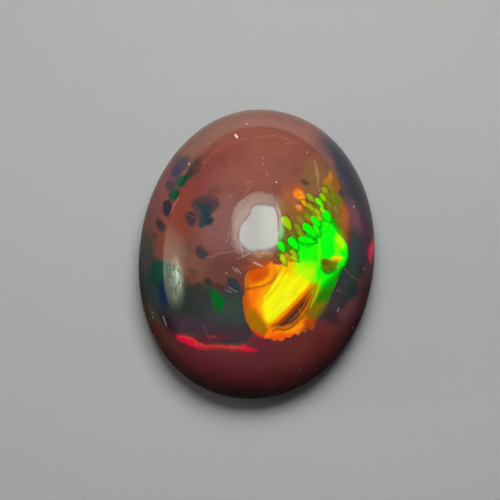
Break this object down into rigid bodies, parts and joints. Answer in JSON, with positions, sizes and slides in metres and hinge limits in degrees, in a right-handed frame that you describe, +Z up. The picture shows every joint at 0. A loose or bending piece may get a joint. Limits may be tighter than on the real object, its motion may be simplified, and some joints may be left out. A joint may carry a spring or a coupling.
{
  "type": "black opal cabochon",
  "caption": "Oval dark opal cabochon with a high polished dome, a rounded girdle and a bevelled flat back, loose and ready to set.",
  "frame": {"origin": "centre of the flat back, at the bottom of the stone", "axes": "+Z up out of the dome, +Y along the oval's long way, +X across it"},
  "size_m": [0.01, 0.013, 0.0051],
  "materials": {
    "polished_opal": "polished precious opal, smoky red-brown body with green, yellow, orange and red play of colour"
  },
  "bodies": {
    "root": {"opal_cabochon": "polished_opal"}
  },
  "joints": []
}
